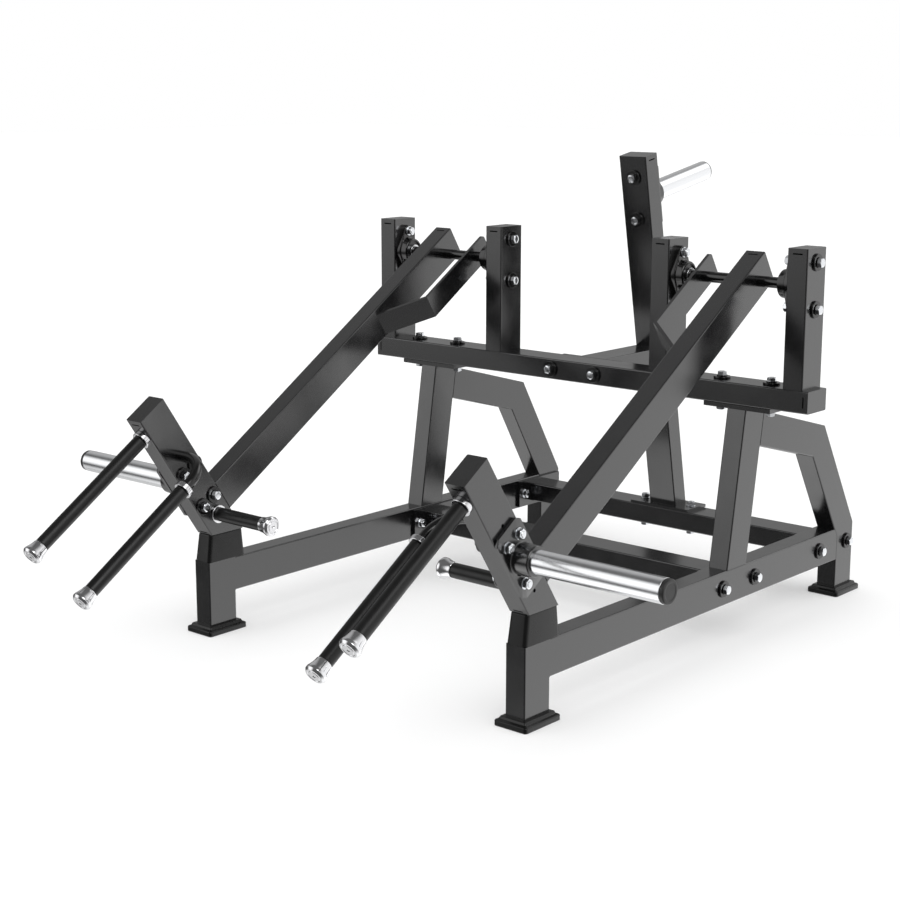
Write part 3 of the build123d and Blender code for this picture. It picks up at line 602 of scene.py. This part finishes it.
def chromed_tube(name, node, body, towards):
    """Tube with its turned-down seat, measured from the CAD node."""
    points = solids(node)[0]
    start, axis, length, radius = spindle(points, towards)
    along, from_axis = away_from_axis(points, start, axis)
    seat = along[from_axis > radius - SEAT_STEP / 2].min()
    bore, seat_r = from_axis.min(), radius - SEAT_STEP
    profile = rounded([(0, bore), (0, seat_r, 0.5), (seat, seat_r), (seat, radius, 0.4),
                       (length, radius, TUBE_LIP), (length, bore)], closed=True)
    piece(name, [turned(profile, start, axis, 96)], body, "chrome", node)
    return start, axis, length, radius


def plug(name, node, body, towards, rounding):
    """Disc with a soft edge, a shallow dish and a raised rim."""
    points = solids(node)[0]
    start, axis, length, radius = spindle(points, towards)
    along, from_axis = away_from_axis(points, start, axis)
    rim = along[from_axis > radius - 2 * NEAR].min()
    stem = from_axis[along < rim - NEAR].max()
    dished = length - DISH_DEPTH
    profile = rounded([(0, 0), (0, stem, 1), (rim, stem), (rim, radius, 0.5), (length, radius, rounding),
                       (length, radius * DISH_RIM, 1), (dished, radius * DISH_FLOOR, 1), (dished, 0)])
    piece(name, [turned(profile, start, axis, 96)], body, "black_plastic", node)


for side, way in (("right", 1), ("left", -1)):
    body = side + "_arm_body"
    chromed_tube(side + "_sleeve_tube", side + "_weight_sleeve", body, (way, 0, 0))
    plug(side + "_sleeve_plug", side + "_sleeve_cap", body, (way, 0, 0), 3.0)
horn = chromed_tube("horn_tube", "storage_horn", "frame", (0, 1, 0))
plug("horn_plug", "storage_horn_cap", "frame", (0, 1, 0), 1.5)
print("sleeve and horn radius", round(horn[3], 2))


# %% [markdown]
# ## Bolted flanges
# A flange is a flat plate with a boss for the tube. Seen along the axis, plate and boss are both
# outlines round one centre, so the whole piece is one grid: the radius of each row is a share of
# the plate's outline plus a number of millimetres, and rows with a share of nought are the boss.
# The outline of a rectangle with cut corners is the nearest of its straight sides in each direction.

# %% Flanges
BOSS_PLATE = dict(size=(42.0, 80.0, 12.0), boss_r=32.0, fillet=4.0)      # half sides and corner cut
HORN_PLATE = dict(size=(35.0, 74.0, 4.0), boss_r=34.9, fillet=2.0)
PLATE_T = 8.0
PLATE_EDGE = 0.9
ARC_SHARE = 0.3            # an edge's middle point lies this share of its rounding in: 1 - cos 45
SKIRT = 9.0                # how far round the boss its first row starts
SKIRT_R = 3.0              # fillet between plate and boss
SEAT_IN = 0.9              # the tube's end is turned down by this to sit in the boss
HORN_BOSS_H = 24.0
OFF_CORNERS = 0.011        # radians that keep the even angles off the corners
TINY = 1e-9                # stands in for nought below a line


def cut_rectangle(half_a, half_b, cut):
    """Angles with the corners among them, and the distance to the nearest side at each."""
    corner = [math.atan2(half_b - cut, half_a), math.atan2(half_b, half_a - cut)]
    corners = np.array(corner + [math.pi - c for c in corner])
    between = evenly(96) + OFF_CORNERS
    angles = np.sort(np.concatenate([between, corners, corners + math.pi]) % (2 * math.pi))
    c, s = np.abs(np.cos(angles)), np.abs(np.sin(angles))
    straight = np.minimum(half_a / np.maximum(c, TINY), half_b / np.maximum(s, TINY))
    return angles, np.minimum(straight, (half_a + half_b - cut) / (c + s))


def plate_and_boss(plate, boss, outline, edge):
    """Rows of a plate (height, millimetres, share) then a boss (height, radius), and their radii.

    A radius is millimetres + share * outline, and the boss stays inside the outline less its edge.
    """
    rows = np.vstack([plate, np.column_stack([boss, np.zeros(len(boss))])])
    radii = rows[:, 1:2] + rows[:, 2:3] * outline
    radii[len(plate):] = np.minimum(radii[len(plate):], outline - edge)
    return rows, radii


def flange(name, node, body, start, axis, hint, boss_h, tube_r, size, boss_r, fillet):
    """Plate and boss in one grid, with the plate's edges rounded."""
    angles, outline = cut_rectangle(*size)
    edge, soft, seat_r = PLATE_EDGE, PLATE_EDGE * ARC_SHARE, tube_r - SEAT_IN
    plate = np.array([[0, seat_r, 0], [0, -edge, 1], [soft, -soft, 1], [edge, 0, 1],
                      [PLATE_T - edge, 0, 1], [PLATE_T - soft, -soft, 1], [PLATE_T, -edge, 1]])
    boss = rounded([(PLATE_T, boss_r + SKIRT), (PLATE_T, boss_r, SKIRT_R), (boss_h, boss_r, fillet),
                    (boss_h, seat_r, 0.6), (0, seat_r)])
    rows, radii = plate_and_boss(plate, boss, outline, edge)
    piece(name, [turned(rows, start, axis, angles, radii, hint)], body, "powder_coat", node)


for side, way in (("right", 1), ("left", -1)):
    tube_start, _, _, tube_r = spindle(solids(side + "_weight_sleeve")[0], (way, 0, 0))
    low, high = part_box(side + "_sleeve_flange")
    flange(side + "_sleeve_boss", side + "_sleeve_flange", side + "_arm_body", tube_start,
           np.array([way, 0.0, 0.0]), grip_way[side], (high.x - low.x) / MM, tube_r, **BOSS_PLATE)
flange("horn_boss", "storage_horn_flange", "frame", horn[0], horn[1], (1, 0, 0),
       HORN_BOSS_H, horn[3], **HORN_PLATE)


# %% [markdown]
# ## Bearings and shafts
# Each arm turns on a shaft between two flange bearings. A housing is cast iron: a nose round the
# insert and two ears for the bolts. The outline of such a convex shape is found from its tangent
# lines: in each direction it is the nearest of all lines that touch the nose or an ear.

# %% Housings, inserts and shafts
EAR_REACH = 51.5           # millimetres from the shaft to each bolt
EAR_R = 15.0
EAR_T = 13.0
EAR_LIP = 2.8              # how far the ears' top edge is rounded in
EAR_LIP_ROWS = [(2.2, 0), (1.3, 0.3), (0.6, 0.9), (0.15, 1.8), (0, EAR_LIP)]     # (below the top, in)
NOSE_R = 34.0
NOSE_H = 31.0
NOSE_FOOT_R = NOSE_R - 0.9
NOSE_TOP_R = NOSE_R - 2.2  # the nose tapers, to leave the mould
NOSE_SOFT = 5.0
NOSE_SKIRT = 12.0
INSERT_R = 26.0
INNER_R = 17.0             # outside of the inner ring
RING_GAP = 0.3             # between the rings
SEAL_R = 22.5              # outside of the seal
SEAL_IN = 1.2              # how far the seal is set back
GRAZING = 0.05             # cosine below which a tangent line is too far round to matter


def ears_and_nose(angles):
    """Distance to the outline: the least of reach(t) / cos(t - a) over tangent directions t."""
    tangents = evenly(720)
    reach = np.maximum(NOSE_R, EAR_R + EAR_REACH * np.abs(np.cos(tangents)))
    ahead = np.cos(tangents[None] - angles[:, None])
    return np.where(ahead > GRAZING, reach / np.maximum(ahead, GRAZING), np.inf).min(1)


def housing(name, node, side_way):
    """Cast housing: ears blend into a tapered nose with rounded lips."""
    low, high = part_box(node)
    face = (low.x if side_way > 0 else high.x) / MM
    centre = np.array([face, (low.y + high.y) / 2 / MM, (low.z + high.z) / 2 / MM])
    angles = evenly(144)
    outline = ears_and_nose(angles)
    lip = [[EAR_T - down, -into, 1] for down, into in EAR_LIP_ROWS]
    plate = np.array([[0, INSERT_R, 0], [0, 0, 1], *lip])
    nose = rounded([(EAR_T, NOSE_R + NOSE_SKIRT), (EAR_T, NOSE_FOOT_R, NOSE_SOFT),
                    (NOSE_H, NOSE_TOP_R, NOSE_SOFT), (NOSE_H, INSERT_R, 1), (0, INSERT_R)])
    rows, radii = plate_and_boss(plate, nose, outline, EAR_LIP)
    piece(name, [turned(rows, centre, np.array([side_way, 0.0, 0.0]), angles, radii, (0, 0, 1))],
          "frame", "black_enamel", node)


for side, way in (("right", 1), ("left", -1)):
    housing(side + "_outer_housing_casting", side + "_outer_bearing_housing", -way)
    housing(side + "_inner_housing_casting", side + "_inner_bearing_housing", way)


def insert(points):
    """Outer ring with its seal set back, and the longer inner ring that grips the shaft, as two grids."""
    centre = points.mean(0)
    from_axis = np.hypot(*(points - centre)[:, 1:].T)
    low_x, high_x = points[:, 0].min(), points[:, 0].max()
    wide = points[from_axis > INSERT_R - NEAR][:, 0]
    way = 1.0 if wide.min() - low_x < high_x - wide.max() else -1.0
    axis = np.array([way, 0.0, 0.0])
    start = np.array([low_x if way > 0 else high_x, *centre[1:]])
    ring_from, ring_to = sorted(abs(x - start[0]) for x in (wide.min(), wide.max()))
    bore, length = from_axis.min(), high_x - low_x
    seal, gap_r = ring_to - SEAL_IN, INNER_R + RING_GAP
    outer = rounded([(ring_from, gap_r), (ring_from, INSERT_R, 0.5), (ring_to, INSERT_R, 0.5),
                     (ring_to, SEAL_R, 0.3), (seal, SEAL_R - 0.5), (seal, gap_r)], closed=True)
    inner = rounded([(0, bore), (0, INNER_R, 0.5), (length, INNER_R, 1.0), (length, bore, 0.5)], closed=True)
    return turned(outer, start, axis, 72), turned(inner, start, axis, 72)


inserts = [insert(p) for p in solids("bearing_inserts")]
piece("bearing_outer_rings", [outer for outer, _ in inserts], "frame", "black_enamel", "bearing_inserts")
piece("bearing_inner_rings", [inner for _, inner in inserts], "frame", "chrome", "bearing_inserts")


def round_bar(name, node, body, slot, rounding=1.0):
    """Solid bar with rounded ends."""
    start, axis, length, radius = spindle(solids(node)[0])
    profile = rounded([(0, 0), (0, radius, rounding), (length, radius, rounding), (length, 0)])
    piece(name, [turned(profile, start, axis, 64)], body, slot, node)


for side in ("right", "left"):
    round_bar(side + "_shaft_bar", side + "_pivot_shaft", side + "_arm_body", "black_enamel")


# %% [markdown]
# ## Handles
# A handle is a bar in the bracket with a ring collar, a rubber grip and a flared aluminium cap.
# Two are straight. The third leaves the bracket sideways and is bent forwards on a mandrel, so it
# is a circle swept along a line, a quarter turn and another line. The cap is one turned profile:
# a hollow flare, a broad rim, a ring groove in the face and a small centre-drilled dimple.

# %% Grips, collars and caps
BAR_R = 12.5
SEAT_R = BAR_R + 0.1       # bore of what is pushed onto a bar
GRIP_EDGE = 2.5
COLLAR_EDGE = 1.2
NECK_R = 17.5
NECK_H = 2.0
FLARE_H = 22.0
FLARE_POWER = 1.6          # the flare's radius grows with this power of the way along it
RIM_H = 5.0                # height of the cap's broad rim
RIM_IN = 4.0               # how far its face lies inside the rim
GROOVE_R = (15.0, 14.2, 12.8, 12.0)     # ring groove in the face: outer lip, floor, floor, inner lip
GROOVE = 0.9               # its depth
DIMPLE = [(0, 4.2, 0.4), (1.8, 2.2), (2.4, 0)]     # (depth, radius, rounding) of the centre drilling


def sleeve(points, edge, angles):
    """Tube over a bar, with both outer edges rounded."""
    start, axis, length, radius = spindle(points)
    profile = rounded([(0, SEAT_R), (0, radius, edge), (length, radius, edge), (length, SEAT_R)], closed=True)
    return turned(profile, start, axis, angles)


def flared_cap(points):
    """Cap from its neck to its face; the wide end is the one with the larger radius."""
    start, axis, length, radius = spindle(points)
    along, from_axis = away_from_axis(points, start, axis)
    if along[from_axis > radius - NEAR / 2].mean() < length / 2:
        start, axis = start + axis * length, -axis
    flare = np.linspace(0, 1, 12)[:, None]
    neck = np.column_stack([NECK_H + flare * FLARE_H, NECK_R + (radius - NECK_R) * flare ** FLARE_POWER])
    cut = length - GROOVE
    groove = [(height, r, 0.3) for height, r in zip((length, cut, cut, length), GROOVE_R)]
    dimple = [(length - depth, *rest) for depth, *rest in DIMPLE]
    face = rounded([(NECK_H + FLARE_H + 0.5, radius), (length - RIM_H, radius, 1.0),
                    (length, radius - RIM_IN, 1.5), *groove, *dimple])
    profile = np.vstack([[[0, 0], [0, NECK_R - 1], [0.6, NECK_R - 0.3]], neck, face[1:]])
    return turned(profile, start, axis, 96)


for side in ("right", "left"):
    body = side + "_arm_body"
    grips, collars = solids(side + "_handle_grips"), solids(side + "_handle_collars")
    piece(side + "_grip_sleeves", [sleeve(p, GRIP_EDGE, 64) for p in grips], body,
          "grip_rubber", side + "_handle_grips")
    piece(side + "_collar_rings", [sleeve(p, COLLAR_EDGE, 72) for p in collars], body,
          "satin_aluminium", side + "_handle_collars")
    piece(side + "_flared_caps", [flared_cap(p) for p in solids(side + "_handle_end_caps")], body,
          "satin_aluminium", side + "_handle_end_caps")


# %% The bent handle bar
BEND_R = 70.0
SIDEWAYS = 0.5             # a grip whose direction has more X than this is the side handle's


def swept_bar(path, tangents, radius, across):
    """Circle carried along a flat path: its plane is spanned by across and the direction square to it."""
    up = np.cross(tangents, across)
    angles = evenly(48)
    ring = np.cos(angles)[:, None, None] * across + np.sin(angles)[:, None, None] * up[None]
    grid = path[:, None] + radius * ring.transpose(1, 0, 2)
    ends = [np.repeat(path[i][None, None], len(angles), 1) for i in (0, -1)]
    return np.concatenate([ends[0], grid, ends[1]])


def bent_bar(side, way):
    """Line out of the bracket, arc of the bend radius, line forwards."""
    node = side + "_middle_handle"
    points = solids(node)[0]
    grips = [spindle(p, grip_way[side]) for p in solids(side + "_handle_grips")]
    forwards = [g for g in grips if abs(g[1][0]) < SIDEWAYS]
    mid = min(forwards, key=lambda g: abs(g[0][0]))
    outwards = points[:, 0] * way
    start = points[outwards > outwards.max() - NEAR / 2].mean(0)
    inward, forward = np.array([-way, 0.0, 0.0]), grip_way[side]
    corner = start + inward * abs(start[0] - mid[0][0])
    length = ((points - corner) @ forward).max()
    turn = np.linspace(0, math.pi / 2, 20)[:, None]
    centre = corner - inward * BEND_R + forward * BEND_R
    arc = centre + BEND_R * (inward * np.sin(turn) - forward * np.cos(turn))
    path = np.vstack([start, arc, corner + forward * length])
    tangents = np.vstack([inward, inward * np.cos(turn) + forward * np.sin(turn), forward])
    across = np.cross(inward, forward)
    piece(side + "_bent_bar", [swept_bar(path, tangents, BAR_R, across)], side + "_arm_body",
          "black_enamel", node)


for side, way in (("right", 1), ("left", -1)):
    bent_bar(side, way)


# %% [markdown]
# ## Rubber feet and bumpers
# These are pressed blocks with soft edges. Each row of the grid is a rounded rectangle, and the rows
# climb the block's side, so one profile of (height, inset) points shapes all four sides at once.

# %% Feet and bumpers
CORNER_FALL = 0.5          # a corner's radius falls by this share of the inset
SHARPEST = 0.5


def rounded_rectangle(half_x, half_y, corner, count=10):
    """Points round a rectangle whose corners are quarter circles; sizes may be columns, one for each row."""
    quarter = np.linspace(0, math.pi / 2, count)
    turn = np.concatenate([quarter + k * math.pi / 2 for k in range(4)])
    sign_x = np.repeat([1, -1, -1, 1], count)
    sign_y = np.repeat([1, 1, -1, -1], count)
    return np.stack([sign_x * (half_x - corner) + corner * np.cos(turn),
                     sign_y * (half_y - corner) + corner * np.sin(turn)], -1)


def block(low, high, profile, slope=((0, 0), (0, 0)), corner=4.0):
    """Closed block: profile rows are (height, inset); slope is how far each side leans in by the top."""
    (x_low, x_high), (y_low, y_high) = slope
    height, inset = profile[:, :1], profile[:, 1:2]
    share = height / (high[2] - low[2])
    left, right = low[0] + x_low * share + inset, high[0] - x_high * share - inset
    front, rear = low[1] + y_low * share + inset, high[1] - y_high * share - inset
    corner = np.maximum(corner - inset * CORNER_FALL, SHARPEST)
    flat = rounded_rectangle((right - left) / 2, (rear - front) / 2, corner)
    x, y = flat[..., 0] + (left + right) / 2, flat[..., 1] + (front + rear) / 2
    grid = np.stack([x, y, low[2] + height * np.ones(x.shape[1])], -1)
    ends = [np.repeat(row.mean(0)[None, None], grid.shape[1], 1) for row in (grid[0], grid[-1])]
    return np.concatenate([ends[0], grid, ends[1]])


def rubber_block(name, node, profile, **shape):
    """One pressed block that fills its CAD node's box."""
    low, high = (np.array(corner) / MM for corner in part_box(node))
    piece(name, [block(low, high, profile, **shape)], "frame", "black_rubber", node)


FOOT_H = 20
FOOT_STEP = 12             # height of the foot's wide part
FOOT_CORNER = 7.0
BUMPER_H = 64
BUMPER_LEAN = ((2.0, 2.0), (9.5, 4.5))
BUMPER_CORNER = 9.0

foot_profile = rounded([(0, 3), (0, 0, 2), (FOOT_STEP, 0, 3), (FOOT_STEP + 2.5, 7, 2.5), (FOOT_H, 9.5, 2),
                        (FOOT_H, 20)])
bumper_profile = rounded([(0, 2), (0, 0, 0.8), (BUMPER_H, 0, 2.5), (BUMPER_H, 12)])
for side in ("right", "left"):
    for end in ("front", "rear"):
        rubber_block(f"{side}_{end}_foot_pad", f"{side}_{end}_foot", foot_profile, corner=FOOT_CORNER)
    rubber_block(side + "_bumper_block", side + "_bumper", bumper_profile, slope=BUMPER_LEAN,
                 corner=BUMPER_CORNER)
print(len(made_pieces), "new pieces,", sum(len(p.data.polygons) for p in made_pieces), "faces")


# %% [markdown]
# ## Studio
# Near-black satin paint shows the room, not its own colour, so the room does the modelling. The sky
# is procedural: a base plus lobes, each its strength times a smooth step of the cosine between the
# ray and the lobe's middle. What is mirrored and what lights the floor are set apart, as a studio
# does with white cards that stand close to the product: the cards show in the paint and the chrome,
# and a plain soft ceiling lights the floor, which glows a little so that its shadows stay faint.
# The first card is the long wall behind the machine, seen in every tube's side. The next two are in
# front, high and low, for the chrome. The rest are above, behind and to the right, and a pale floor.

# %% Floor and light
CARDS = [((0.642, 0.738, -0.208), 1.05, 0.1),        # middle of the card, its strength, cosine at its edge
         ((-0.642, -0.70, 0.32), 1.3, 0.82),
         ((-0.5, -0.5, -0.7), 1.3, 0.88),
         ((-0.642, 0.55, 0.5), 0.37, 0.75),
         ((0.208, 0.738, 0.642), 1.2, 0.93),
         ((0.7, -0.29, 0.65), 4.0, 0.9),
         ((-0.2, 0.4, -1.0), 0.8, 0.35)]
CARD_BASE = 0.1
CEILING = [((0.2, -0.3, 1.0), 1.5, 0.0)]
CEILING_BASE = 0.35
BACKGROUND = 1.0           # what the camera itself sees
FLOOR_GLOW = 0.3
FLOOR_SIZE = 60            # metres

bpy.ops.mesh.primitive_plane_add(size=FLOOR_SIZE)
floor = bpy.context.object
floor.name = "floor"
floor_paint, _, floor_body = finish("matt_white_paper", "#cfcfcf", 1.0, Emission_Strength=FLOOR_GLOW)
floor_body.inputs["Emission Color"].default_value = linear("#ffffff")
floor.data.materials.append(floor_paint)
floor.visible_glossy = False
floor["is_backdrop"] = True


def lobes(tree, way, base, cards):
    """Strength = base + sum of card strength * smoothstep(edge, 1, direction . middle)."""
    total = None
    for middle, strength, edge in cards:
        dot = add(tree, "ShaderNodeVectorMath", {0: way}, operation="DOT_PRODUCT")
        dot.inputs[1].default_value = unit(middle)
        lobe = add(tree, "ShaderNodeMapRange", {"Value": dot.outputs["Value"]},
                   interpolation_type="SMOOTHSTEP")
        for key, value in (("From Min", edge), ("From Max", 1), ("To Min", 0), ("To Max", strength)):
            lobe.inputs[key].default_value = value
        step = add(tree, "ShaderNodeMath", {0: lobe.outputs["Result"]}, operation="ADD")
        step.inputs[1].default_value = base
        if total is not None:
            tree.links.new(total, step.inputs[1])
        total = step.outputs["Value"]
    return total


def chosen(tree, switch, no, yes):
    """One of two strengths by a 0 or 1 switch: no + (yes - no) * switch."""
    return add(tree, "ShaderNodeMix", {0: switch, 2: no, 3: yes}).outputs[0]


def studio_sky():
    """The world: plain for the camera, cards for mirrored rays and a soft ceiling for the rest."""
    sky = bpy.data.worlds.new("studio")
    bpy.context.scene.world = sky
    sky.use_nodes = True
    tree = sky.node_tree
    way = add(tree, "ShaderNodeTexCoord").outputs["Generated"]
    ray = add(tree, "ShaderNodeLightPath").outputs
    soft = lobes(tree, way, CEILING_BASE, CEILING)
    mirrored = chosen(tree, ray["Is Glossy Ray"], soft, lobes(tree, way, CARD_BASE, CARDS))
    plain = add(tree, "ShaderNodeValue").outputs[0]
    plain.default_value = BACKGROUND
    strength = chosen(tree, ray["Is Camera Ray"], mirrored, plain)
    tree.links.new(strength, tree.nodes["Background"].inputs["Strength"])
    tree.nodes["Background"].inputs["Color"].default_value = (1, 1, 1, 1)


studio_sky()
bpy.context.scene.view_settings.view_transform = "Standard"

# %% Sizes of what is drawn
low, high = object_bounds()
